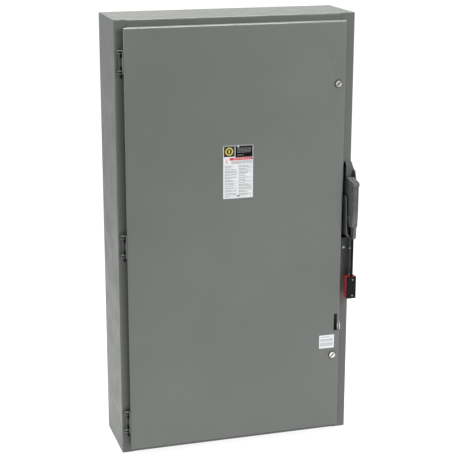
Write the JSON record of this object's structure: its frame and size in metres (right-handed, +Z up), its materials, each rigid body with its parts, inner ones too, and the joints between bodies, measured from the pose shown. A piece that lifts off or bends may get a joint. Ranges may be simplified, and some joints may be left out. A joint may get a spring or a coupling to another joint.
{
  "type": "fusible disconnect switch",
  "caption": "Wall-mounted sheet-steel enclosure with a left-hinged door, padlock hasp, quarter-turn door fasteners and a side operating handle over a fused knife switch.",
  "frame": {"origin": "on the enclosure's back face, which lies on the wall, midway between its four bolt holes", "axes": "+Z up, +Y back into the wall, +X to the right seen from the front"},
  "size_m": [0.7146, 0.2625, 1.278],
  "materials": {
    "enclosure_paint": "satin grey powder coat",
    "door_paint": "satin grey powder coat",
    "zinc_plate": "bright zinc plate",
    "label_stock": "satin printed film",
    "handle_casting": "satin grey paint on a casting",
    "black_steel": "satin black",
    "red_grip": "satin red vinyl",
    "black_grip": "matte black vinyl",
    "black_moulding": "matte thermoset moulding",
    "copper_bar": "satin copper bar",
    "fuse_tube": "satin laminate tube",
    "chute_fibre": "matte vulcanised fibre",
    "lug_aluminium": "tin-plated aluminium",
    "clear_shield": "clear polycarbonate"
  },
  "bodies": {
    "enclosure": {"left_side": "enclosure_paint", "right_side": "enclosure_paint", "top_end": "enclosure_paint", "bottom_end": "enclosure_paint", "back_panel": "enclosure_paint", "upper_hinge_body_leaf": "enclosure_paint", "middle_hinge_body_leaf": "enclosure_paint", "lower_hinge_body_leaf": "enclosure_paint", "upper_hinge_pin": "enclosure_paint", "middle_hinge_pin": "enclosure_paint", "lower_hinge_pin": "enclosure_paint", "guard_screw": "zinc_plate", "mounting_pan": "zinc_plate", "left_bearing_plate": "zinc_plate", "mechanism_frame": "zinc_plate", "torsion_spring": "zinc_plate", "handle_base": "handle_casting", "handle_guard": "handle_casting", "handle_pivot_pin": "handle_casting", "line_base": "black_moulding", "fuse_base": "black_moulding", "line_terminal_a": "copper_bar", "line_terminal_b": "copper_bar", "line_terminal_c": "copper_bar", "upper_fuse_clip_a": "copper_bar", "upper_fuse_clip_b": "copper_bar", "upper_fuse_clip_c": "copper_bar", "load_terminal_a": "copper_bar", "load_terminal_b": "copper_bar", "load_terminal_c": "copper_bar", "fuse_a": "fuse_tube", "fuse_b": "fuse_tube", "fuse_c": "fuse_tube", "arc_chute_a": "chute_fibre", "arc_chute_b": "chute_fibre", "arc_chute_c": "chute_fibre", "ground_lug": "lug_aluminium", "line_shield": "clear_shield"},
    "door_assembly": {"door": "door_paint", "upper_hinge_door_leaf": "door_paint", "middle_hinge_door_leaf": "door_paint", "lower_hinge_door_leaf": "door_paint", "padlock_hasp": "zinc_plate", "main_label": "label_stock", "small_label": "label_stock", "interlock_hook": "zinc_plate"},
    "upper_fastener": {"upper_door_fastener": "zinc_plate"},
    "lower_fastener": {"lower_door_fastener": "zinc_plate"},
    "handle": {"handle_arm": "handle_casting", "lever_bar": "black_steel", "grip_back": "red_grip", "grip_front": "black_grip", "grip_screw_upper": "zinc_plate", "grip_screw_lower": "zinc_plate"},
    "crossbar_assembly": {"crossbar": "black_moulding", "blade_a": "copper_bar", "blade_b": "copper_bar", "blade_c": "copper_bar", "drive_crank": "zinc_plate"},
    "link": {"drive_link": "black_steel"}
  },
  "joints": [
    {"name": "door_hinge", "type": "hinge", "parent": "enclosure", "child": "door_assembly", "pos_m": [-0.338, -0.213, 0], "axis": [0, 0, -1], "range_deg": [0, 135]},
    {"name": "upper_fastener_turn", "type": "hinge", "parent": "door_assembly", "child": "upper_fastener", "pos_m": [0.298, -0.23, 0.44], "axis": [0, 1, 0], "range_deg": [0, 90]},
    {"name": "lower_fastener_turn", "type": "hinge", "parent": "door_assembly", "child": "lower_fastener", "pos_m": [0.298, -0.23, -0.389], "axis": [0, 1, 0], "range_deg": [0, 90]},
    {"name": "handle_turn", "type": "hinge", "parent": "enclosure", "child": "handle", "pos_m": [0.351, -0.243, 0.14], "axis": [-1, 0, 0], "range_deg": [0, 180]},
    {"name": "crossbar_turn", "type": "hinge", "parent": "enclosure", "child": "crossbar_assembly", "pos_m": [0, -0.114, 0.205], "axis": [-1, 0, 0], "range_deg": [0, 55]},
    {"name": "link_turn", "type": "hinge", "parent": "crossbar_assembly", "child": "link", "pos_m": [0.2475, -0.14593, 0.18838], "axis": [-1, 0, 0], "range_deg": [-55, 0]}
  ],
  "couplings": [
    {"joint": "crossbar_turn", "follows": "handle_turn", "ratio": 0.3055},
    {"joint": "link_turn", "follows": "handle_turn", "ratio": -0.3055}
  ]
}
